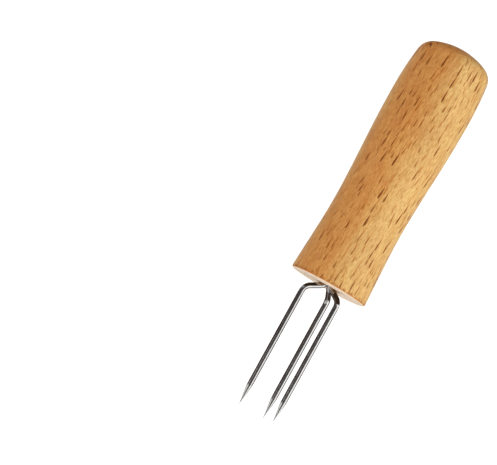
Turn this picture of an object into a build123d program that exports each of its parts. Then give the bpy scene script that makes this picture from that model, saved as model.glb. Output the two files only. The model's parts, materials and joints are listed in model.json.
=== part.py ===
from build123d import *
import math
import os

# Uncapping fork: a turned beech handle with three bent stainless wire tines resin-bonded into one bore.
#
# Frame, in millimetres: the fork lies on its side on the plane z = 0, with the handle's axis along X.
# The domed end of the handle points to +X and the tine points to -X. The origin is the middle of the
# fork's footprint. Lengths along the handle are counted from its flat end face, where the tines come out.

# Handle: a slim waist near the tines, a swelling towards the palm and a low crowned end.
HANDLE_LENGTH = 90.3
END_RADIUS = 13.72  # at the flat end face, before its edge is rounded
END_TAPER = -0.04  # slope of the side where it leaves the end face
END_EDGE_RADIUS = 0.7
WAIST_AT = 26.5
WAIST_RADIUS = 12.63
SWELL_AT = 48.0
SWELL_RADIUS = 13.4
BULB_RADIUS = 14.0  # the thickest place
BULB_SIDE_CURVE = 109.0  # radius of the side's outline from the thickest place to the shoulder
BULB_SIDE_TURN = 7.4  # degrees
SHOULDER_RADIUS = 5.5
CROWN_HALF_ANGLE = 25.0  # degrees, from the handle's axis to the rim of the crown

# Bore: one blind drilled hole for all three tine shanks, with a countersunk mouth.
BORE_RADIUS = 2.5
BORE_DEPTH = 32.0
DRILL_POINT_HALF_ANGLE = 59.0  # degrees
MOUTH_RADIUS = 4.0  # of the 90 degree countersink, at the end face
MOUTH_OVERRUN = 1.0  # how far the cutting profile goes past the end face
RESIN_RECESS = 0.45  # from the end face down to the resin

# The bore leans a little, so the tines do too. The leaning axis crosses the handle's axis at the pivot.
TINE_LEAN = 0.75  # degrees, the points towards -Y
LEAN_PIVOT_DEPTH = 22.0

# Tines: three equal wires. Each leaves the bore, turns out along a sloping arm and runs straight ahead.
WIRE_RADIUS = 1.0
SHANK_OFFSET = 1.25  # from the bore's axis to each shank's centre
SHANK_LENGTH = 30.0  # inside the handle
TINE_CIRCLE_RADIUS = 7.45
ARM_DROP = 3.5  # how far the arm's outer corner stands out from the end face
INNER_BEND_RADIUS = 2.4
OUTER_BEND_RADIUS = 3.2
TINE_REACH = 48.0  # from the end face to the points
POINT_LENGTH = 7.0
POINT_TIP_RADIUS = 0.06
SHANK_END_CHAMFER = 0.25
GROOVE_COUNT = 3  # shallow rings near the shank's inner end, which key it into the resin
GROOVE_DEPTH = 0.2
GROOVE_WIDTH = 0.8
GROOVE_PITCH = 2.0
FIRST_GROOVE_FROM_END = 2.5

# Azimuths about the tines' axis, in degrees, from -Y towards +Z.
TINE_AZIMUTHS = {"tine_left": 165.0, "tine_right": 45.0, "tine_lower": -75.0}

# Worked out from the driving dimensions. The lean carries the left tine's point the furthest forward.
lean = math.radians(TINE_LEAN)
left_swing = TINE_CIRCLE_RADIUS * math.cos(math.radians(TINE_AZIMUTHS["tine_left"]))
front_reach = TINE_REACH * math.cos(lean) - left_swing * math.sin(lean)
FACE_X = (front_reach - HANDLE_LENGTH) / 2
AXIS_HEIGHT = BULB_RADIUS
shoulder_end_turn = 90 - CROWN_HALF_ANGLE
shoulder_start_radius = BULB_RADIUS - BULB_SIDE_CURVE * (1 - math.cos(math.radians(BULB_SIDE_TURN)))
crown_rim_radius = shoulder_start_radius - SHOULDER_RADIUS * (
    math.cos(math.radians(BULB_SIDE_TURN)) - math.cos(math.radians(shoulder_end_turn))
)
crown_curve = crown_rim_radius / math.sin(math.radians(CROWN_HALF_ANGLE))
cap_length = (
    BULB_SIDE_CURVE * math.sin(math.radians(BULB_SIDE_TURN))
    + SHOULDER_RADIUS * (math.sin(math.radians(shoulder_end_turn)) - math.sin(math.radians(BULB_SIDE_TURN)))
    + crown_curve * (1 - math.cos(math.radians(CROWN_HALF_ANGLE)))
)
bulb_at = HANDLE_LENGTH - cap_length

# The handle's axial section: local x runs from the end face towards the dome, local y is the radius.
handle_axis = Axis(origin=(FACE_X, 0, AXIS_HEIGHT), direction=(1, 0, 0))
handle_section = Plane(origin=(FACE_X, 0, AXIS_HEIGHT), x_dir=(1, 0, 0), z_dir=(0, -1, 0))

# The hub plane stands across the tines' axis where that axis leaves the end face: local z runs out along
# the tines, local x is azimuth 0 and local y is azimuth 90.
hub = Plane(
    origin=(FACE_X, -LEAN_PIVOT_DEPTH * math.tan(lean), AXIS_HEIGHT),
    x_dir=(math.sin(lean), -math.cos(lean), 0),
    z_dir=(-math.cos(lean), -math.sin(lean), 0),
)
hub_axis = Axis(origin=hub.origin, direction=hub.z_dir)


def tine_section(azimuth):
    """The plane through the tines' axis at an azimuth: local x runs outwards along the axis and local y is
    the distance from it."""
    turn = math.radians(azimuth)
    radial = hub.x_dir * math.cos(turn) + hub.y_dir * math.sin(turn)
    return Plane(origin=hub.origin, x_dir=hub.z_dir, z_dir=hub.z_dir.cross(radial))


def hole_volume(top):
    """The drilled and countersunk hole as a solid, from its drill point up to a height over the end face:
    0 is the end face itself and a negative height is inside the handle."""
    drill_point = BORE_RADIUS / math.tan(math.radians(DRILL_POINT_HALF_ANGLE))
    countersink_depth = MOUTH_RADIUS - BORE_RADIUS
    with BuildPart() as hole:
        with BuildSketch(tine_section(0)):
            with BuildLine():
                Polyline(
                    (-BORE_DEPTH - drill_point, 0),
                    (-BORE_DEPTH, BORE_RADIUS),
                    (-countersink_depth, BORE_RADIUS),
                    (top, MOUTH_RADIUS + top),
                    (top, 0),
                    close=True,
                )
            make_face()
        revolve(axis=hub_axis)
    return hole.part


def build_handle():
    """The turned handle with its leaning blind bore."""
    with BuildPart() as handle:
        with BuildSketch(handle_section):
            with BuildLine():
                side = Spline(
                    (0, END_RADIUS),
                    (WAIST_AT, WAIST_RADIUS),
                    (SWELL_AT, SWELL_RADIUS),
                    (bulb_at, BULB_RADIUS),
                    tangents=[(1, END_TAPER), (1, 0)],
                )
                bulb = JernArc(side @ 1, (1, 0), BULB_SIDE_CURVE, -BULB_SIDE_TURN)
                shoulder = JernArc(bulb @ 1, bulb % 1, SHOULDER_RADIUS, BULB_SIDE_TURN - shoulder_end_turn)
                crown = JernArc(shoulder @ 1, shoulder % 1, crown_curve, -CROWN_HALF_ANGLE)
                Polyline(crown @ 1, (0, 0), side @ 0)
            make_face()
        revolve(axis=handle_axis)
        end_edge = handle.faces().sort_by(Axis.X)[0].edges().filter_by(GeomType.CIRCLE)
        fillet(end_edge, END_EDGE_RADIUS)
        add(hole_volume(MOUTH_OVERRUN), mode=Mode.SUBTRACT)
    return handle.part


def build_tine(azimuth):
    """One bent wire tine with its ground point and its keyed shank."""
    section = tine_section(azimuth)
    shank_axis = Axis(origin=section.from_local_coords((0, SHANK_OFFSET, 0)), direction=section.x_dir)
    tine_axis = Axis(origin=section.from_local_coords((0, TINE_CIRCLE_RADIUS, 0)), direction=section.x_dir)
    point_base = TINE_REACH - POINT_LENGTH
    chamfer_side = SHANK_END_CHAMFER * math.sqrt(2)
    with BuildPart() as tine:
        with BuildLine(section):
            path = FilletPolyline(
                (-SHANK_LENGTH, SHANK_OFFSET),
                (0, SHANK_OFFSET),
                (ARM_DROP, TINE_CIRCLE_RADIUS),
                (point_base, TINE_CIRCLE_RADIUS),
                radius=(INNER_BEND_RADIUS, OUTER_BEND_RADIUS),
            )
        with BuildSketch(Plane(origin=path @ 0, z_dir=path % 0)):
            Circle(WIRE_RADIUS)
        sweep(path=path)
        with BuildSketch(section):
            with BuildLine():
                Polyline(
                    (point_base, TINE_CIRCLE_RADIUS),
                    (point_base, TINE_CIRCLE_RADIUS + WIRE_RADIUS),
                    (TINE_REACH, TINE_CIRCLE_RADIUS + POINT_TIP_RADIUS),
                    (TINE_REACH, TINE_CIRCLE_RADIUS),
                    close=True,
                )
            make_face()
        revolve(axis=tine_axis)
        with BuildSketch(section):
            with Locations((-SHANK_LENGTH, SHANK_OFFSET + WIRE_RADIUS)):
                Rectangle(chamfer_side, chamfer_side, rotation=45)
            for i in range(GROOVE_COUNT):
                groove_at = -SHANK_LENGTH + FIRST_GROOVE_FROM_END + i * GROOVE_PITCH
                with Locations((groove_at, SHANK_OFFSET + WIRE_RADIUS)):
                    Rectangle(GROOVE_WIDTH, 2 * GROOVE_DEPTH)
        revolve(axis=shank_axis, mode=Mode.SUBTRACT)
    return tine.part


def build_resin_plug(tines):
    """The cast resin that fills the bore round the shanks, up to a little under the end face."""
    with BuildPart() as plug:
        add(hole_volume(-RESIN_RECESS))
        for tine in tines:
            add(tine, mode=Mode.SUBTRACT)
    return plug.part


def write(piece, name):
    piece.label = name
    export_step(piece, f"parts/{name}.step")


os.makedirs("parts", exist_ok=True)
write(build_handle(), "handle")
tines = []
for tine_name, tine_azimuth in TINE_AZIMUTHS.items():
    tines.append(build_tine(tine_azimuth))
    write(tines[-1], tine_name)
write(build_resin_plug(tines), "resin_plug")
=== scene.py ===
import json
import math

import bmesh
import bpy
import numpy as np
from mathutils import Matrix, Vector


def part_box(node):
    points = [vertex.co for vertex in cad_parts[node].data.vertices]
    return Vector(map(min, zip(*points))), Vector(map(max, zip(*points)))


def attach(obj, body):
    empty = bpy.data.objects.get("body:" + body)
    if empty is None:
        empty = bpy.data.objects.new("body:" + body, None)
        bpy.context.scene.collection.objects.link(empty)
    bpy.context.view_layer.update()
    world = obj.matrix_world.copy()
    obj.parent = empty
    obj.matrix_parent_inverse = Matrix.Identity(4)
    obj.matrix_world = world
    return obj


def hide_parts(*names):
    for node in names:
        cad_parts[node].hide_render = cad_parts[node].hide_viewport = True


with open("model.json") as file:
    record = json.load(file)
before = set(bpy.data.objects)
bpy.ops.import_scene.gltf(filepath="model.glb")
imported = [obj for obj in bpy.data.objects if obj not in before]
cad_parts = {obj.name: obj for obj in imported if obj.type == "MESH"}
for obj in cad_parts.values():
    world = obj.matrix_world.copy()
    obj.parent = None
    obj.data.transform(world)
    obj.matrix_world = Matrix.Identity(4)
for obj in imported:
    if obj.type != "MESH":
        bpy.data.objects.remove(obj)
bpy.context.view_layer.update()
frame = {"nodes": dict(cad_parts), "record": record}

# Lengths are in metres, in the CAD's frame: the handle's axis runs along X, the tines point to -X, and the
# fork lies on the plane z = 0. Azimuths are in degrees round an axis, from -Y towards +Z.
MM = 0.001

# Places read from the frame.
handle_low, handle_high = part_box("handle")
FACE_X = handle_low.x
POLE_X = handle_high.x
AXIS_Z = (handle_low.z + handle_high.z) / 2
tine_mount = next(m for m in frame["record"]["mounts"] if m["name"] == "tines")
tine_direction = np.array(tine_mount["axis"])
mount_place = np.array(tine_mount["pos_m"])
hub = mount_place + tine_direction * (FACE_X - mount_place[0]) / tine_direction[0]
hub_across = np.array([-tine_direction[1], tine_direction[0], 0.0])
UP = np.array([0.0, 0.0, 1.0])
ACROSS = np.array([0.0, -1.0, 0.0])  # azimuth 0 round the handle's own axis
TINE_CIRCLE = tine_mount["dims"]["pcd_mm"] * MM / 2
WIRE = tine_mount["dims"]["stud_r_mm"] * MM

# The hole in the handle, as the CAD has it.
BORE = 2.5 * MM
BORE_DEPTH = 32.0 * MM
DRILL_POINT = 1.5 * MM
MOUTH = 4.0 * MM
RESIN_RECESS = 0.45 * MM

# The tines, as the CAD has them.
TINE_AZIMUTHS = {"tine_left": 165.0, "tine_right": 45.0, "tine_lower": -75.0}
SHANK_OFFSET = 1.25 * MM
SHANK_LENGTH = 30.0 * MM
ARM_DROP = 3.5 * MM
INNER_BEND = 2.4 * MM
OUTER_BEND = 3.2 * MM
REACH = 48.0 * MM
POINT_LENGTH = 7.0 * MM
POINT_TIP = 0.06 * MM
SHANK_CHAMFER = 0.25 * MM
GROOVE_CENTRES = [2.5 * MM, 4.5 * MM, 6.5 * MM]  # from the shank's inner end
GROOVE_DEPTH = 0.2 * MM
GROOVE_WIDTH = 0.8 * MM


# ---------------------------------------------------------------- meshes

def make_piece(name, points, faces, material, cad_node):
    """A smooth closed mesh with outward normals that stands for a CAD node."""
    points = np.asarray(points)
    first, second, third = (points[[face[i] for face in faces]] for i in range(3))
    volume = np.einsum("ij,ij->i", first, np.cross(second, third)).sum()
    if volume < 0:
        faces = [tuple(reversed(face)) for face in faces]
    mesh = bpy.data.meshes.new(name)
    mesh.from_pydata(points.tolist(), [], faces)
    mesh.shade_smooth()
    mesh.materials.append(material)
    piece = bpy.data.objects.new(name, mesh)
    bpy.context.scene.collection.objects.link(piece)
    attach(piece, "root")
    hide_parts(cad_node)
    return piece


def skin(rings, first_pole, last_pole):
    """Points and faces of a closed skin through a stack of rings, which have the same number of points."""
    count = len(rings[0])
    points = np.vstack([*rings, first_pole, last_pole])
    first = len(points) - 2
    last = len(points) - 1
    faces = []
    end = (len(rings) - 1) * count
    for here in range(0, end, count):
        onward = here + count
        for j in range(count):
            k = (j + 1) % count
            faces.append((here + j, here + k, onward + k, onward + j))
    for j in range(count):
        k = (j + 1) % count
        faces.append((first, k, j))
        faces.append((last, end + j, end + k))
    return points, faces


def ring(centre, across, up, radius, count):
    """A circle's points, turning from across towards up. radius is one number, or one for each point."""
    turn = np.linspace(0, 2 * math.pi, count, endpoint=False)
    outward = np.cos(turn)[:, None] * across + np.sin(turn)[:, None] * up
    return centre + outward * np.broadcast_to(radius, count)[:, None]


# ---------------------------------------------------------------- handle

HANDLE_SIDES = 256
SOLID_FROM = FACE_X + 40 * MM  # past the hole's end
OUTSIDE = 5.2 * MM  # the hole is nearer the axis than this
POLE_CLEAR = 0.2 * MM  # the crown's own pole is left out of the outline
OUTLINE_STEP = 0.34 * MM
EDGE_STEP = 0.07 * MM  # over the rounded edge of the end face
EDGE_LENGTH = 1.3 * MM
FACE_RIM = 13.0 * MM  # the flat end face goes out to about here, where its rounded edge starts
FACE_RINGS = 55
TURNING_PITCH = 0.85 * MM
TURNING_DEPTH = 0.045 * MM
TURNING_UNEVEN = 0.35
TURNING_UNEVEN_OVER = 1.9 * MM
TURNING_FADE = 0.8 * MM
MOUTH_BREAK_DEPTH = 0.06 * MM  # the sharp edge of the hole's mouth is broken by this much
MOUTH_BREAK_WIDTH = 0.05 * MM


def handle_outline():
    """The outline of the CAD handle from the end face to the crown, as x and radius."""
    co = np.array([v.co for v in frame["nodes"]["handle"].data.vertices])
    radius = np.hypot(co[:, 1], co[:, 2] - AXIS_Z)
    outer = (radius > OUTSIDE) | ((co[:, 0] > SOLID_FROM) & (radius > POLE_CLEAR))
    levels, first = np.unique(co[outer, 0].round(6), return_index=True)
    radii = radius[outer][first]
    run = np.concatenate([[0], np.cumsum(np.hypot(np.diff(levels), np.diff(radii)))])
    fine = np.arange(0, EDGE_LENGTH, EDGE_STEP)
    coarse = np.linspace(EDGE_LENGTH, run[-1], int((run[-1] - EDGE_LENGTH) / OUTLINE_STEP))
    stations = np.concatenate([fine, coarse])
    return np.interp(stations, run, levels), np.interp(stations, run, radii)


def turning_marks(radius):
    """How deep the lathe's marks lie below the end face, at distances from its middle. None at the rim."""
    wave = (1 - np.cos(2 * math.pi * radius / TURNING_PITCH)) / 2
    slow = 1 - TURNING_UNEVEN * (1 - np.sin(radius / TURNING_UNEVEN_OVER))
    fade = np.clip((FACE_RIM - radius) / TURNING_FADE, 0, 1)
    return TURNING_DEPTH * wave * slow * fade


def build_handle(material):
    """The turned handle: its hole, its marked end face, its side and its crown, in one skin."""
    bore_runs = [
        (-BORE_DEPTH, BORE),
        (-BORE_DEPTH / 2, BORE),
        (-(MOUTH - BORE), BORE),
        (-MOUTH_BREAK_DEPTH, MOUTH - MOUTH_BREAK_DEPTH),
    ]
    rings = []
    for out, radius in bore_runs:
        rings.append(ring(hub + tine_direction * out, hub_across, UP, radius, HANDLE_SIDES))
    xs, radii = handle_outline()
    mouth_ring = ring(hub, hub_across, UP, MOUTH + MOUTH_BREAK_WIDTH, HANDLE_SIDES)
    mouth_ring[:, 0] = FACE_X
    rim_ring = ring(np.array([FACE_X, 0, AXIS_Z]), ACROSS, UP, radii[0], HANDLE_SIDES)
    for share in np.linspace(0, 1, FACE_RINGS, endpoint=False):
        flat = mouth_ring * (1 - share) + rim_ring * share
        flat[:, 0] += turning_marks(np.hypot(flat[:, 1], flat[:, 2] - AXIS_Z))
        rings.append(flat)
    for x, radius in zip(xs, radii):
        rings.append(ring(np.array([x, 0, AXIS_Z]), ACROSS, UP, radius, HANDLE_SIDES))
    drill_point = hub - tine_direction * (BORE_DEPTH + DRILL_POINT)
    crown_pole = np.array([POLE_X, 0, AXIS_Z])
    points, faces = skin(rings, drill_point, crown_pole)
    return make_piece("turned_handle", points, faces, material, "handle")


# ---------------------------------------------------------------- tines

WIRE_SIDES = 48
WIRE_STEP = 0.35 * MM
FEWEST_BEND_STEPS = 6
BEND_FLATTENING = 0.05  # share of the wire's thickness, in the middle of a cold bend
BEND_WIDENING = 0.03
GROOVE_LIP = 0.01 * MM  # half the width of a groove's steep wall


def rounded_route(corners, radii, step):
    """Points along a line whose inner corners are rounded to the given radii, with their unit tangents, and
    with how far into a bend each one is, from 0 at its ends to 1 in its middle."""
    corners = [np.array(c) for c in corners]
    points, tangents, bends = [], [], []
    start = corners[0]
    for i in range(1, len(corners)):
        along = corners[i] - corners[i - 1]
        along /= np.linalg.norm(along)
        if i == len(corners) - 1:
            cut = 0.0
        else:
            onward = corners[i + 1] - corners[i]
            onward /= np.linalg.norm(onward)
            turn = math.acos(np.clip(np.dot(along, onward), -1, 1))
            cut = radii[i - 1] * math.tan(turn / 2)
        finish = corners[i] - along * cut
        length = np.linalg.norm(finish - start)
        for s in np.arange(0, length - step / 2, step):
            points.append(start + along * s)
            tangents.append(along)
            bends.append(0.0)
        if i == len(corners) - 1:
            points.append(finish)
            tangents.append(along)
            bends.append(0.0)
            break
        side = np.sign(along[0] * onward[1] - along[1] * onward[0])
        normal = np.array([-along[1], along[0]]) * side
        centre = finish + normal * radii[i - 1]
        count = max(FEWEST_BEND_STEPS, int(radii[i - 1] * turn / (step / 2)))
        for angle in np.linspace(0, turn, count, endpoint=False):
            heading = along * math.cos(angle) + normal * math.sin(angle)
            across = -normal * math.cos(angle) + along * math.sin(angle)
            points.append(centre + across * radii[i - 1])
            tangents.append(heading)
            bends.append(math.sin(math.pi * angle / turn))
        start = corners[i] + onward * cut
    return np.array(points), np.array(tangents), np.array(bends)


def with_stations(route, tangents, bends, places):
    """The same line with points added at some places along the tines' axis, which it follows steadily."""
    for place in places:
        i = np.searchsorted(route[:, 0], place)
        share = (place - route[i - 1, 0]) / (route[i, 0] - route[i - 1, 0])
        added = route[i - 1] * (1 - share) + route[i] * share
        route = np.insert(route, i, added, axis=0)
        tangents = np.insert(tangents, i, tangents[i - 1], axis=0)
        bends = np.insert(bends, i, bends[i - 1])
    return route, tangents, bends


def wire_radius(run, reach_left):
    """The wire's radius at a distance along it from the shank's inner end."""
    radius = WIRE
    if run < SHANK_CHAMFER:
        radius -= SHANK_CHAMFER - run
    for centre in GROOVE_CENTRES:
        if abs(run - centre) < GROOVE_WIDTH / 2:
            radius -= GROOVE_DEPTH
    if reach_left < POINT_LENGTH:
        radius = POINT_TIP + (WIRE - POINT_TIP) * reach_left / POINT_LENGTH
    return radius


def build_tine(name, azimuth, material):
    """One bent wire. Its attribute "straightened" holds each point's place on the unbent wire, in mm."""
    turn = math.radians(azimuth)
    radial = hub_across * math.cos(turn) + UP * math.sin(turn)
    side = np.cross(tine_direction, radial)
    shank = [(-SHANK_LENGTH, SHANK_OFFSET), (0, SHANK_OFFSET)]
    tine = [(ARM_DROP, TINE_CIRCLE), (REACH, TINE_CIRCLE)]
    route, tangents, bends = rounded_route(shank + tine, (INNER_BEND, OUTER_BEND), WIRE_STEP)
    edges = [SHANK_CHAMFER]
    for centre in GROOVE_CENTRES:
        for side_of_groove in (-1, 1):
            for lip in (-GROOVE_LIP, GROOVE_LIP):
                edges.append(centre + side_of_groove * GROOVE_WIDTH / 2 + lip)
    places = [edge - SHANK_LENGTH for edge in edges] + [REACH - POINT_LENGTH]
    route, tangents, bends = with_stations(route, tangents, bends, places)
    runs = np.concatenate([[0], np.cumsum(np.linalg.norm(np.diff(route, axis=0), axis=1))])
    rings, straight = [], []
    x_way, y_way = np.eye(3)[:2]
    for (out, radius), (tangent_out, tangent_in), bend, run in zip(route, tangents, bends, runs):
        centre = hub + tine_direction * out + radial * radius
        in_plane = radial * tangent_out - tine_direction * tangent_in
        thick = wire_radius(run, REACH - out if out > 0 else REACH)
        flat_in = in_plane * (1 - BEND_FLATTENING * bend)
        flat_out = side * (1 + BEND_WIDENING * bend)
        rings.append(ring(centre, flat_in, flat_out, thick, WIRE_SIDES))
        straight.append(ring(np.array([0, 0, run]), x_way, y_way, thick, WIRE_SIDES))
    points, faces = skin(rings, rings[0].mean(axis=0), rings[-1].mean(axis=0))
    piece = make_piece(name + "_wire", points, faces, material, name)
    straight_points = np.vstack([*straight, [[0, 0, 0]], [[0, 0, runs[-1]]]]) / MM
    lay = piece.data.attributes.new("straightened", "FLOAT_VECTOR", "POINT")
    lay.data.foreach_set("vector", straight_points.astype(np.float32).ravel())
    return piece


# ---------------------------------------------------------------- resin

RESIN_SIDES = 96
RESIN_RINGS = 26
INNERMOST_RING = 0.04  # share of the mouth's radius
RESIN_GAP = 0.01 * MM  # between the resin and the hole's wall
WALL_CLIMB = 0.16 * MM
WALL_CLIMB_OVER = 0.35 * MM
WIRE_CLIMB = 0.2 * MM
WIRE_CLIMB_OVER = 0.28 * MM
MOST_CLIMB = 0.36 * MM
MIDDLE_CLIMB = 0.1 * MM  # between the three wires
TURNED_OUT = 0.15 * MM  # how far the wires have bent outwards where the resin ends
WELD = 0.002 * MM


def weld_slivers(mesh):
    """Takes out the slivers that cutting leaves, and the pairs of faces that they fold into."""
    net = bmesh.new()
    net.from_mesh(mesh)
    bmesh.ops.triangulate(net, faces=net.faces)
    bmesh.ops.remove_doubles(net, verts=net.verts, dist=WELD)
    bmesh.ops.dissolve_degenerate(net, edges=net.edges, dist=WELD)
    bmesh.ops.triangulate(net, faces=net.faces)
    net.verts.index_update()
    by_corners = {}
    for face in net.faces:
        by_corners.setdefault(frozenset(vert.index for vert in face.verts), []).append(face)
    folded = [face for same in by_corners.values() if len(same) > 1 for face in same]
    bmesh.ops.delete(net, geom=folded, context="FACES")
    net.to_mesh(mesh)
    net.free()


def build_resin(material, tines):
    """The resin's skin climbs a little at the mouth's wall and round each wire."""
    edge = MOUTH - RESIN_RECESS + WALL_CLIMB - RESIN_GAP
    wires = []
    for azimuth in TINE_AZIMUTHS.values():
        turn = math.radians(azimuth)
        wires.append((hub_across * math.cos(turn) + UP * math.sin(turn)) * (SHANK_OFFSET + TURNED_OUT))
    rings = []
    for share in np.linspace(INNERMOST_RING, 1, RESIN_RINGS):
        flat = ring(np.zeros(3), hub_across, UP, edge * share, RESIN_SIDES)
        to_wire = np.min([np.linalg.norm(flat - wire, axis=1) for wire in wires], axis=0) - WIRE
        climb = WIRE_CLIMB * np.exp(-np.maximum(to_wire, 0) / WIRE_CLIMB_OVER)
        climb += WALL_CLIMB * math.exp(-(1 - share) * edge / WALL_CLIMB_OVER)
        height = np.minimum(climb, MOST_CLIMB) - RESIN_RECESS
        if share == 1:
            height = np.full(RESIN_SIDES, WALL_CLIMB - RESIN_RECESS)
        rings.append(hub + flat + tine_direction * height[:, None])
    for depth in (MOUTH - BORE, BORE_DEPTH):
        rings.append(ring(hub - tine_direction * depth, hub_across, UP, BORE - RESIN_GAP, RESIN_SIDES))
    top = hub + tine_direction * (MIDDLE_CLIMB - RESIN_RECESS)
    bottom = hub - tine_direction * (BORE_DEPTH + DRILL_POINT - RESIN_GAP)
    points, faces = skin(rings, top, bottom)
    plug = make_piece("cast_resin", points, faces, material, "resin_plug")
    for tine in tines:
        cut = plug.modifiers.new(tine.name, "BOOLEAN")
        cut.operation = "DIFFERENCE"
        cut.object = tine
        cut.solver = "EXACT"
    depsgraph = bpy.context.evaluated_depsgraph_get()
    shape = bpy.data.meshes.new_from_object(plug.evaluated_get(depsgraph))
    plug.modifiers.clear()
    weld_slivers(shape)
    plug.data = shape


# ---------------------------------------------------------------- materials

class Graph:
    """One material's nodes, built up by short calls."""

    def __init__(self, name):
        self.material = bpy.data.materials.new(name)
        self.material.use_nodes = True
        self.tree = self.material.node_tree
        self.tree.nodes.clear()

    def node(self, kind, inputs=None, **settings):
        made = self.tree.nodes.new("ShaderNode" + kind)
        for key, value in settings.items():
            setattr(made, key, value)
        for key, value in (inputs or {}).items():
            if isinstance(value, bpy.types.NodeSocket):
                self.tree.links.new(value, made.inputs[key])
            else:
                made.inputs[key].default_value = value
        return made

    def math(self, operation, a, b=0.0, clamp=False):
        return self.node("Math", {0: a, 1: b}, operation=operation, use_clamp=clamp).outputs[0]

    def vector(self, operation, a, b):
        made = self.node("VectorMath", {0: a, 1: b}, operation=operation)
        return made.outputs["Value" if operation in ("DOT_PRODUCT", "LENGTH") else "Vector"]

    def scaled(self, a, factor):
        return self.node("VectorMath", {0: a, "Scale": factor}, operation="SCALE").outputs["Vector"]

    def combine(self, x, y, z=0.0):
        return self.node("CombineXYZ", {0: x, 1: y, 2: z}).outputs[0]

    def separate(self, vector):
        return self.node("SeparateXYZ", {0: vector}).outputs

    def noise(self, vector, fineness, detail, roughness=0.55):
        """Noise from 0 to 1. fineness is its features per unit of length, along each axis."""
        place = self.vector("MULTIPLY", vector, fineness)
        inputs = {"Vector": place, "Scale": 1.0, "Detail": detail, "Roughness": roughness}
        return self.node("TexNoise", inputs).outputs["Fac"]

    def remap(self, value, low, high, to_low=0.0, to_high=1.0):
        """value runs smoothly from to_low at low to to_high at high."""
        inputs = {"Value": value, 1: low, 2: high, 3: to_low, 4: to_high}
        return self.node("MapRange", inputs, interpolation_type="SMOOTHSTEP").outputs[0]

    def ramp(self, value, stops):
        """stops are (place, colour or grey level)."""
        made = self.node("ValToRGB", {0: value})
        line = made.color_ramp
        while len(line.elements) < len(stops):
            line.elements.new(0.5)
        for element, (place, colour) in zip(line.elements, stops):
            element.position = place
            element.color = (*colour, 1) if isinstance(colour, tuple) else (colour, colour, colour, 1)
        return made.outputs["Color"]

    def mix(self, factor, a, b, blend="MIX"):
        made = self.node("Mix", data_type="RGBA", blend_type=blend)
        for key, value in (("Factor_Float", factor), ("A_Color", a), ("B_Color", b)):
            socket = next(s for s in made.inputs if s.identifier == key)
            if isinstance(value, bpy.types.NodeSocket):
                self.tree.links.new(value, socket)
            elif isinstance(value, tuple):
                socket.default_value = (*value, 1)
            else:
                socket.default_value = value
        return next(s for s in made.outputs if s.identifier == "Result_Color")

    def bump(self, height, distance, strength):
        inputs = {"Height": height, "Distance": distance, "Strength": strength}
        return self.node("Bump", inputs).outputs[0]

    def finish(self, **inputs):
        """The surface. Names are the Principled shader's sockets with _ for a space."""
        shader = self.node("BsdfPrincipled", {k.replace("_", " "): v for k, v in inputs.items()})
        out = self.node("OutputMaterial")
        self.tree.links.new(shader.outputs[0], out.inputs["Surface"])
        return self.material


# A float Mix node's inputs.
FACTOR, FIRST, SECOND = 0, 2, 3

BARK_AZIMUTH = math.radians(70)  # the way to the bark, from -Y towards +Z
PALE_SIDE_AZIMUTH = math.radians(35)  # the way to the paler side, partly paler wood and partly painted sheen where the key light falls
PITH_AWAY = 70.0  # mm from the handle's axis to the tree's centre
GRAIN_TILT = math.tan(math.radians(2.5))
GRAIN_WANDER = 1.4  # mm
RING_PITCH = 2.3  # mm between growth rings

# Linear colours of the wood.
HEARTWOOD = (0.610, 0.280, 0.071)
# the next colour is paler wood and also painted sheen
PALE_WOOD_AND_SHEEN = (0.690, 0.452, 0.165)
RUDDY_WOOD = (0.50, 0.165, 0.030)
MOTTLED = (0.86, 0.79, 0.70)
LATE_WOOD = (0.36, 0.13, 0.03)
DARK_STREAK = (0.72, 0.59, 0.43)
MIDDLE_STREAK = (0.97, 0.95, 0.92)
UNCHANGED = (1.0, 1.0, 1.0)
PORES = (0.30, 0.105, 0.022)
BRIGHT_STREAK = (0.84, 0.55, 0.20)
RAY_HALO = (0.54, 0.165, 0.022)
FAINT_RAY = (0.34, 0.120, 0.018)
MEDIUM_RAY = (0.25, 0.075, 0.006)
BOLD_RAY = (0.15, 0.038, 0.002)
# the next colour is darker end grain and also painted shade
CROWN_END_GRAIN_AND_SHADE = (0.38, 0.145, 0.030)
# the next colour is bare end grain and also painted light
PALE_END_AND_LIGHT = (0.88, 0.76, 0.62)
BURNISHED = (0.30, 0.088, 0.012)
# the next colour is painted shade round the hole's mouth
HUB_SHADE = (0.22, 0.085, 0.025)


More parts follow.
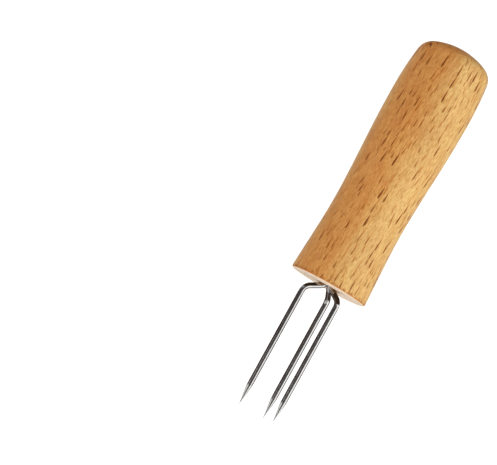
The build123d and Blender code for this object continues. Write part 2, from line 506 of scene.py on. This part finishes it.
def flecks(g, grain, cell, share, length, width, height, shift, soft):
    """Cut edges of the wood's rays. Each ray is a thin upright ribbon, at most one in a cell. It shows as
    a dash along the grain, blunt at the tines' end and drawn out to a thin tail, and as a wider flake where
    the surface runs along it. Lengths are in mm, along the grain, across the rays and towards the bark.
    Gives the dashes and a soft glow round them."""
    spot = g.vector("ADD", g.vector("DIVIDE", grain, cell), (shift, 0, 0))
    cells = g.node("TexVoronoi", {"Vector": spot, "Scale": 1.0, "Randomness": 0.9})
    chance = g.separate(cells.outputs["Color"])
    away = g.separate(g.vector("MULTIPLY", g.vector("SUBTRACT", spot, cells.outputs["Position"]), cell))
    own_length = g.math("MULTIPLY", length, g.remap(chance[0], 0, 1, 0.6, 1.25))
    place = g.math("ADD", g.math("DIVIDE", away[0], own_length), 0.5)
    outline = [(0.0, 0.0), (0.10, 0.70), (0.28, 1.0), (0.60, 0.70), (0.85, 0.32), (1.0, 0.0)]
    taper = g.ramp(place, outline)
    off_middle = g.math("POWER", g.math("ABSOLUTE", g.math("DIVIDE", away[2], height / 2)), 2)
    taper = g.math("MULTIPLY", taper, g.math("SUBTRACT", 1.0, off_middle, clamp=True))
    own_width = g.math("MULTIPLY", width / 2, g.remap(chance[2], 0, 1, 0.65, 1.2))
    inside = g.math("SUBTRACT", g.math("MULTIPLY", taper, own_width), g.math("ABSOLUTE", away[1]))
    there = g.math("LESS_THAN", chance[1], share)
    strength = g.math("MULTIPLY", there, g.remap(chance[0], 0, 1, 0.58, 1.0))
    core = g.math("MULTIPLY", g.remap(inside, 0.0, soft), strength)
    near = g.math("MULTIPLY", g.remap(place, 0.0, 0.25), g.remap(off_middle, 0.4, 1.3, 1.0, 0.0))
    glow = g.math("MULTIPLY", g.remap(inside, -0.34, 0.05), g.math("MULTIPLY", near, strength))
    return core, glow


def beech():
    """Steamed beech, with its grain along the handle's axis and its growth rings centred outside it."""
    g = Graph("beech")
    coordinates = g.node("TexCoord")
    place = g.scaled(g.vector("SUBTRACT", coordinates.outputs["Object"], (FACE_X, 0, AXIS_Z)), 1 / MM)
    along = g.separate(place)[0]
    bark_way = (0, -math.cos(BARK_AZIMUTH), math.sin(BARK_AZIMUTH))
    across_rays_way = (0, math.sin(BARK_AZIMUTH), math.cos(BARK_AZIMUTH))
    pale_side_way = (0, -math.cos(PALE_SIDE_AZIMUTH), math.sin(PALE_SIDE_AZIMUTH))
    to_bark = g.vector("DOT_PRODUCT", place, bark_way)
    sideways = g.vector("DOT_PRODUCT", place, across_rays_way)
    to_pith = g.math("ADD", to_bark, PITH_AWAY)
    spread = g.math("DIVIDE", PITH_AWAY, to_pith)
    wander = g.noise(g.combine(along, sideways), (0.06, 0.12, 0), 2.0)
    across = g.math("MULTIPLY", sideways, spread)
    across = g.math("ADD", across, g.math("MULTIPLY", along, GRAIN_TILT))
    across = g.math("ADD", across, g.math("MULTIPLY", wander, GRAIN_WANDER))
    grain = g.combine(along, across, to_bark)

    # colour: ruddier heart, a paler side that is partly paler wood and partly painted sheen where the key
    # light falls, painted sheen on the opposite side too, broad zones, growth rings, mottle, fibres and
    # pores
    zones = g.noise(grain, (0.022, 0.11, 0.06), 2.0)
    mottle = g.noise(grain, (0.22, 0.9, 0.5), 4.0, 0.6)
    blush = g.noise(grain, (0.11, 0.42, 0.42), 3.0)
    streaks = g.noise(grain, (0.60, 4.0, 4.0), 3.0, 0.65)
    fibres = g.noise(grain, (1.0, 7.0, 7.0), 2.0, 0.6)
    uneven = g.math("MULTIPLY", g.math("SUBTRACT", zones, 0.5), 5.0)
    to_pale_side = g.math("ADD", g.vector("DOT_PRODUCT", place, pale_side_way), uneven)
    # painted sheen: the side at 35 degrees from -Y towards +Z is paler and yellower, partly as paler wood
    # and partly as painted sheen where the key light falls
    lit_side_paling = g.remap(to_pale_side, 3.5, 11.5)
    # painted sheen: the opposite side is paled too, up to 0.6 of the way to the pale colour
    painted_limb_sheen = g.remap(to_pale_side, -11.0, -4.5, 0.60, 0.0)
    pale_zone_and_sheen = g.math("ADD", lit_side_paling, painted_limb_sheen)
    wood = g.mix(pale_zone_and_sheen, HEARTWOOD, PALE_WOOD_AND_SHEEN)
    ruddy = g.math("MULTIPLY", g.remap(blush, 0.46, 0.70), g.remap(pale_zone_and_sheen, 0.0, 1.0, 0.45, 0.12))
    wood = g.mix(ruddy, wood, RUDDY_WOOD)
    tone = g.math("ADD", g.math("MULTIPLY", zones, 0.4), g.math("MULTIPLY", mottle, 0.6))
    wood = g.mix(1.0, wood, g.ramp(tone, [(0.36, MOTTLED), (0.60, UNCHANGED)]), "MULTIPLY")
    from_pith = g.vector("LENGTH", g.combine(across, to_pith), (0, 0, 0))
    rings_out = g.math("MULTIPLY", from_pith, 1 / RING_PITCH)
    ring_phase = g.math("ADD", rings_out, g.math("MULTIPLY", zones, 1.5))
    late_wood = g.remap(g.math("FRACT", ring_phase), 0.55, 1.0)
    normal = coordinates.outputs["Normal"]
    towards_crown = g.separate(normal)[0]
    end_grain = g.remap(g.math("ABSOLUTE", towards_crown), 0.60, 0.97)
    late_wood = g.math("MULTIPLY", late_wood, g.remap(end_grain, 0, 1, 0.14, 0.38))
    wood = g.mix(late_wood, wood, LATE_WOOD)
    streak_tone = g.ramp(streaks, [(0.34, DARK_STREAK), (0.50, MIDDLE_STREAK), (0.66, UNCHANGED)])
    wood = g.mix(1.0, wood, streak_tone, "MULTIPLY")
    pores = g.remap(fibres, 0.55, 0.70)
    wood = g.mix(g.math("MULTIPLY", pores, 0.42), wood, PORES)
    bright = g.math("MULTIPLY", g.remap(streaks, 0.52, 0.70), 0.20)
    wood = g.mix(bright, wood, BRIGHT_STREAK)

    # the wood's rays, which are fainter where the surface runs along them
    along_rays = g.math("ABSOLUTE", g.vector("DOT_PRODUCT", normal, across_rays_way))
    clear = g.remap(along_rays, 0.90, 1.0, 1.0, 0.32)
    clear = g.math("MULTIPLY", clear, g.remap(end_grain, 0.0, 1.0, 1.0, 0.40))
    bold, glow = flecks(g, grain, (5.2, 1.70, 3.1), 0.66, 4.5, 0.50, 3.4, 8.0, 0.05)
    medium, medium_glow = flecks(g, grain, (4.1, 1.25, 3.0), 0.46, 3.2, 0.34, 3.4, 17.0, 0.05)
    faint, _ = flecks(g, grain, (2.4, 0.75, 1.8), 0.58, 1.7, 0.26, 2.0, 41.0, 0.07)
    halo = g.math("MULTIPLY", g.math("MAXIMUM", glow, medium_glow), g.math("MULTIPLY", clear, 0.44))
    wood = g.mix(halo, wood, RAY_HALO)
    wood = g.mix(g.math("MULTIPLY", faint, g.math("MULTIPLY", clear, 0.55)), wood, FAINT_RAY)
    wood = g.mix(g.math("MULTIPLY", medium, g.math("MULTIPLY", clear, 0.85)), wood, MEDIUM_RAY)
    wood = g.mix(g.math("MULTIPLY", bold, clear), wood, BOLD_RAY)

    # cut across the grain the crown is darker, partly as end grain and partly as painted shade where it
    # faces away from the lights; the end face is painted pale, partly bare end grain and partly painted
    # light for the strong lamp on it; the arris is burnished, and a painted shade round the hole's mouth
    # stands for the wires' shadow
    # painted shade: the crown darkens towards its end, partly as end grain and partly as painted shade
    # where it faces away from the lights
    crown = g.math("MULTIPLY", g.remap(towards_crown, 0.50, 1.0), 0.38)
    wood = g.mix(crown, wood, CROWN_END_GRAIN_AND_SHADE)
    # painted light: the end face is painted pale, partly bare end grain and partly painted light for the
    # strong lamp on it
    saw_marks = g.noise(place, (1.0, 0.5, 6.0), 2.0)
    end_paleness = g.remap(saw_marks, 0.35, 0.65, 0.60, 0.74)
    pale_end_and_light = g.math("MULTIPLY", g.remap(towards_crown, -0.97, -0.75, 1.0, 0.0), end_paleness)
    wood = g.mix(pale_end_and_light, wood, PALE_END_AND_LIGHT)
    frayed = g.math("ADD", along, g.math("MULTIPLY", g.math("SUBTRACT", 0.52, mottle), 5.0))
    arris = g.math("MULTIPLY", g.remap(along, 0.05, 0.3), g.remap(frayed, 0.5, 1.1, 1.0, 0.0))
    wood = g.mix(g.math("MULTIPLY", arris, 0.75), wood, BURNISHED)
    # painted shade: a ragged darker ring round the hole's mouth stands for the wires' shadow on the end
    # face
    off_hub = g.vector("SUBTRACT", coordinates.outputs["Object"], tuple(hub))
    from_hub = g.vector("LENGTH", off_hub, (0, 0, 0))
    ragged = g.math("ADD", from_hub, g.math("MULTIPLY", g.math("SUBTRACT", mottle, 0.5), 3.0 * MM))
    hub_shade = g.remap(ragged, MOUTH, MOUTH + 1.2 * MM, 1.0, 0.0)
    wood = g.mix(g.math("MULTIPLY", hub_shade, 0.6), wood, HUB_SHADE)

    rough = g.remap(g.math("ADD", mottle, g.math("MULTIPLY", bold, 0.3)), 0.3, 0.9, 0.42, 0.60)
    cut = g.math("ADD", g.math("ADD", bold, medium), pores)
    height = g.math("SUBTRACT", g.math("MULTIPLY", streaks, 0.4), g.math("MULTIPLY", cut, 0.3))
    film = g.bump(g.noise(place, (0.9, 0.9, 0.9), 2.0), 0.04 * MM, 0.35)
    return g.finish(
        Base_Color=wood,
        Roughness=rough,
        Normal=g.bump(height, 0.06 * MM, 0.7),
        Specular_IOR_Level=0.15,
        Coat_Weight=0.15,
        Coat_Roughness=0.24,
        Coat_Normal=film,
        Sheen_Weight=0.42,
        Sheen_Roughness=0.18,
        Sheen_Tint=(1.0, 0.95, 0.84, 1.0),
    )


def wire_length():
    """The length of a tine's wire along its middle, bends included."""
    slope = math.atan2(TINE_CIRCLE - SHANK_OFFSET, ARM_DROP)
    straight = SHANK_LENGTH + math.hypot(ARM_DROP, TINE_CIRCLE - SHANK_OFFSET) + REACH - ARM_DROP
    return straight - (INNER_BEND + OUTER_BEND) * (2 * math.tan(slope / 2) - slope)


def wire_steel():
    """Drawn stainless wire, with fine lines along it and grinding marks round its point."""
    g = Graph("wire_steel")
    lay = g.node("Attribute", attribute_name="straightened").outputs["Vector"]
    drawn = g.noise(lay, (14.0, 14.0, 0.35), 3.0, 0.6)
    ground = g.noise(lay, (2.0, 2.0, 16.0), 2.0, 0.6)
    run = g.separate(lay)[2]
    point_start = (wire_length() - POINT_LENGTH) / MM
    on_point = g.remap(run, point_start - 0.05, point_start + 0.1)
    marks = g.node("Mix", {FACTOR: on_point, FIRST: drawn, SECOND: ground}, data_type="FLOAT").outputs[0]
    smear = g.noise(lay, (0.8, 0.8, 0.25), 3.0)
    colour = g.ramp(smear, [(0.3, (0.60, 0.585, 0.565)), (0.6, (0.68, 0.67, 0.655))])
    worn = g.math("ADD", smear, g.math("MULTIPLY", marks, 0.4))
    rough = g.math("ADD", g.remap(worn, 0.4, 1.0, 0.10, 0.22), g.math("MULTIPLY", on_point, 0.06))
    return g.finish(
        Base_Color=colour,
        Metallic=1.0,
        Roughness=rough,
        Normal=g.bump(marks, 0.02 * MM, 0.22),
    )


def resin():
    """Cloudy amber resin with a glossy skin and a few small pits."""
    g = Graph("resin")
    place = g.scaled(g.node("TexCoord").outputs["Object"], 1 / MM)
    cloud = g.noise(place, (1.3, 1.3, 1.3), 4.0)
    ambers = [(0.3, (0.16, 0.06, 0.015)), (0.55, (0.30, 0.13, 0.035)), (0.75, (0.42, 0.21, 0.07))]
    colour = g.ramp(cloud, ambers)
    bubbles = g.node("TexVoronoi", {"Vector": place, "Scale": 2.2}).outputs["Distance"]
    pits = g.remap(bubbles, 0.08, 0.16, 1.0, 0.0)
    return g.finish(
        Base_Color=colour,
        Roughness=g.remap(cloud, 0.3, 0.7, 0.12, 0.25),
        Normal=g.bump(g.math("SUBTRACT", g.math("MULTIPLY", cloud, 0.4), pits), 0.08 * MM, 0.6),
        Coat_Weight=0.5,
        Coat_Roughness=0.08,
    )


# ---------------------------------------------------------------- stage

def look_at(place, target, up):
    """A rotation that faces -Z from place to target, with +Y towards up."""
    forward = (target - place).normalized()
    right = forward.cross(up).normalized()
    level = right.cross(forward)
    turn = Matrix((right, level, -forward)).transposed().to_4x4()
    return Matrix.Translation(place) @ turn


# Brightness of the floor and of the studio round it.
FLOOR_TO_CAMERA = 0.80
FLOOR_AS_FILL = 0.15
FLOOR_IN_REFLECTIONS = 0.50
FLOOR_HALF = 4.0
FLOOR_GAP = 0.05 * MM  # under the fork
STUDIO_BEYOND_TINES = 1.40
STUDIO_BEYOND_CROWN = 0.60
MIRRORED_ACROSS = 0.08
MIRRORED_ALONG = 0.70
BACKDROP = 1.25


def build_floor():
    """A plain floor, pale to the camera and an even grey in reflections. It still takes soft shadows."""
    g = Graph("floor")
    path = g.node("LightPath")
    pale = g.node("Emission", {"Strength": FLOOR_TO_CAMERA})
    fill = g.node("Emission", {"Strength": FLOOR_AS_FILL})
    mirrored = g.node("Emission", {"Strength": FLOOR_IN_REFLECTIONS})
    cloth = g.node("BsdfDiffuse", {"Color": (0.5, 0.5, 0.5, 1)})
    glow = g.node("MixShader", {0: path.outputs["Is Camera Ray"], 1: fill.outputs[0], 2: pale.outputs[0]})
    lit = g.node("AddShader", {0: glow.outputs[0], 1: cloth.outputs[0]})
    in_mirror = path.outputs["Is Glossy Ray"]
    both = g.node("MixShader", {0: in_mirror, 1: lit.outputs[0], 2: mirrored.outputs[0]})
    g.node("OutputMaterial", {"Surface": both.outputs[0]})
    half = FLOOR_HALF
    corners = [(-half, -half, 0), (half, -half, 0), (half, half, 0), (-half, half, 0)]
    mesh = bpy.data.meshes.new("floor")
    mesh.from_pydata(corners, [], [(0, 1, 2, 3)])
    mesh.materials.append(g.material)
    floor = bpy.data.objects.new("floor", mesh)
    floor.location.z = -FLOOR_GAP
    bpy.context.scene.collection.objects.link(floor)


def dark_card(name, corners, faces, colour):
    """A dark card that only reflections see."""
    g = Graph(name)
    out = g.node("OutputMaterial")
    glow = g.node("Emission", {"Color": (*colour, 1), "Strength": 1.0})
    g.tree.links.new(glow.outputs[0], out.inputs["Surface"])
    mesh = bpy.data.meshes.new(name)
    mesh.from_pydata(corners, [], faces)
    mesh.materials.append(g.material)
    card = bpy.data.objects.new(name, mesh)
    bpy.context.scene.collection.objects.link(card)
    card.visible_camera = False
    card.visible_diffuse = False
    card.visible_shadow = False
    card.visible_transmission = False


def box_card(name, low, high, colour):
    """A dark card in a plane that is square to one of the axes."""
    corners = [(x, y, z) for x in (low[0], high[0]) for y in (low[1], high[1]) for z in (low[2], high[2])]
    flat = next(i for i in range(3) if low[i] == high[i])
    order = {0: (0, 1, 3, 2), 1: (0, 1, 5, 4), 2: (0, 2, 6, 4)}[flat]
    dark_card(name, corners, [order], colour)


def collar_card(name, gap, inner, outer, colour):
    """A dark flat ring a small gap in front of the handle's end face."""
    count = 64
    middle = np.array([FACE_X - gap, 0, AXIS_Z])
    corners = np.vstack([ring(middle, ACROSS, UP, inner, count), ring(middle, ACROSS, UP, outer, count)])
    faces = [(j, (j + 1) % count, count + (j + 1) % count, count + j) for j in range(count)]
    dark_card(name, corners.tolist(), faces, colour)


def softbox(name, place, target, width, height, radiance, in_reflections=True, as_fill=True):
    """A rectangular lamp that faces its target and that the camera doesn't see."""
    light = bpy.data.lights.new(name, "AREA")
    light.shape = "RECTANGLE"
    light.size = width
    light.size_y = height
    light.energy = radiance * math.pi * width * height
    lamp = bpy.data.objects.new(name, light)
    lamp.matrix_world = look_at(Vector(place), Vector(target), Vector((0, 0, 1)))
    lamp.visible_camera = False
    lamp.visible_glossy = in_reflections
    lamp.visible_diffuse = as_fill
    bpy.context.scene.collection.objects.link(lamp)


def build_world():
    """A studio that is white to the camera. It lights the fork most from beyond the tines. In reflections
    it is dark across the handle's axis and pale along it."""
    world = bpy.data.worlds.new("studio")
    world.use_nodes = True
    tree = world.node_tree
    tree.nodes.clear()
    path = tree.nodes.new("ShaderNodeLightPath")
    way = tree.nodes.new("ShaderNodeTexCoord")
    split = tree.nodes.new("ShaderNodeSeparateXYZ")
    fill = tree.nodes.new("ShaderNodeMapRange")
    fill_range = (-1.0, 1.0, STUDIO_BEYOND_TINES, STUDIO_BEYOND_CROWN)
    for socket, value in zip(("From Min", "From Max", "To Min", "To Max"), fill_range):
        fill.inputs[socket].default_value = value
    along_axis = tree.nodes.new("ShaderNodeMath")
    along_axis.operation = "ABSOLUTE"
    walls = tree.nodes.new("ShaderNodeMapRange")
    walls.interpolation_type = "SMOOTHSTEP"
    wall_range = (0.26, 0.52, MIRRORED_ACROSS, MIRRORED_ALONG)
    for socket, value in zip(("From Min", "From Max", "To Min", "To Max"), wall_range):
        walls.inputs[socket].default_value = value
    level = tree.nodes.new("ShaderNodeMix")
    seen = tree.nodes.new("ShaderNodeMix")
    seen.inputs[SECOND].default_value = BACKDROP
    sky = tree.nodes.new("ShaderNodeBackground")
    out = tree.nodes.new("ShaderNodeOutputWorld")
    tree.links.new(way.outputs["Generated"], split.inputs[0])
    tree.links.new(split.outputs[0], fill.inputs["Value"])
    tree.links.new(split.outputs[0], along_axis.inputs[0])
    tree.links.new(along_axis.outputs[0], walls.inputs["Value"])
    tree.links.new(walls.outputs[0], level.inputs[SECOND])
    tree.links.new(fill.outputs[0], level.inputs[FIRST])
    tree.links.new(path.outputs["Is Glossy Ray"], level.inputs[FACTOR])
    tree.links.new(level.outputs[0], seen.inputs[FIRST])
    tree.links.new(path.outputs["Is Camera Ray"], seen.inputs[FACTOR])
    tree.links.new(seen.outputs[0], sky.inputs["Strength"])
    tree.links.new(sky.outputs[0], out.inputs[0])
    bpy.context.scene.world = world


CAMERA_AWAY = 0.9
CAMERA_LEAN = math.radians(6)  # from straight above towards the tines
CAMERA_ROLL = math.radians(29.66)
CAMERA_AIM = (-18.5 * MM, 31.5 * MM)  # from the middle of the handle's axis, along X and Y
SENSOR_WIDTH = 36  # mm
FOCAL_LENGTH = 197.7  # mm
FARTHEST_SEEN = 50


def build_camera():
    """A long lens almost straight above the fork, rolled so that the handle slants across the picture."""
    lens = bpy.data.cameras.new("camera")
    lens.sensor_width = SENSOR_WIDTH
    lens.lens = FOCAL_LENGTH
    lens.clip_end = FARTHEST_SEEN
    camera = bpy.data.objects.new("camera", lens)
    middle = Vector((0, 0, AXIS_Z))
    place = middle + CAMERA_AWAY * Vector((-math.sin(CAMERA_LEAN), 0, math.cos(CAMERA_LEAN)))
    aim = middle + Vector((*CAMERA_AIM, 0))
    camera.matrix_world = look_at(place, aim, Vector((math.cos(CAMERA_ROLL), math.sin(CAMERA_ROLL), 0)))
    bpy.context.scene.collection.objects.link(camera)
    bpy.context.scene.camera = camera


CARD_Z = 0.5 * MM  # the level cards lie just over the fork's own plane
CARD_COLOUR = (0.066, 0.040, 0.031)
COLLAR_COLOUR = (0.045, 0.024, 0.012)
POINTS_X = -0.066


def build_lights():
    """A broad key light beside the fork, fills that don't show in reflections, and one light that shows
    only in reflections, for the tines' points."""
    middle = (0, 0, AXIS_Z)
    softbox("key", (0, -0.50, 0.27), middle, 1.1, 0.56, 1.28)
    softbox("top", (0.0, -0.10, 0.9), middle, 0.6, 0.6, 0.9, in_reflections=False)
    softbox("face_fill", (-0.9, -0.2, 0.15), middle, 0.3, 0.3, 10.0, in_reflections=False)
    softbox("left_fill", (0.0, 0.8, 0.35), middle, 0.5, 0.5, 1.7, in_reflections=False)
    points = (POINTS_X, 0, AXIS_Z)
    softbox("point_light", (-0.20, 0.42, 0.26), points, 0.26, 0.48, 1.0, as_fill=False)


def build_cards():
    """Dark places for the steel and the end face to reflect."""
    box_card("under_tines", (-0.0605, -0.13, CARD_Z), (-0.024, 0.16, CARD_Z), CARD_COLOUR)
    box_card("beside_tines", (-0.072, 0.16, CARD_Z), (0.02, 0.16, 0.12), CARD_COLOUR)
    box_card("beyond_crown", (0.072, -0.1, CARD_Z), (0.5, 0.1, CARD_Z), CARD_COLOUR)
    collar_card("before_end_face", 0.25 * MM, 4.4 * MM, 13.2 * MM, COLLAR_COLOUR)


wood_look = beech()
steel_look = wire_steel()
resin_look = resin()
build_handle(wood_look)
tines = [build_tine(name, azimuth, steel_look) for name, azimuth in TINE_AZIMUTHS.items()]
build_resin(resin_look, tines)

build_floor()
build_world()
build_camera()
build_lights()
build_cards()

bpy.context.scene.view_settings.view_transform = "Standard"
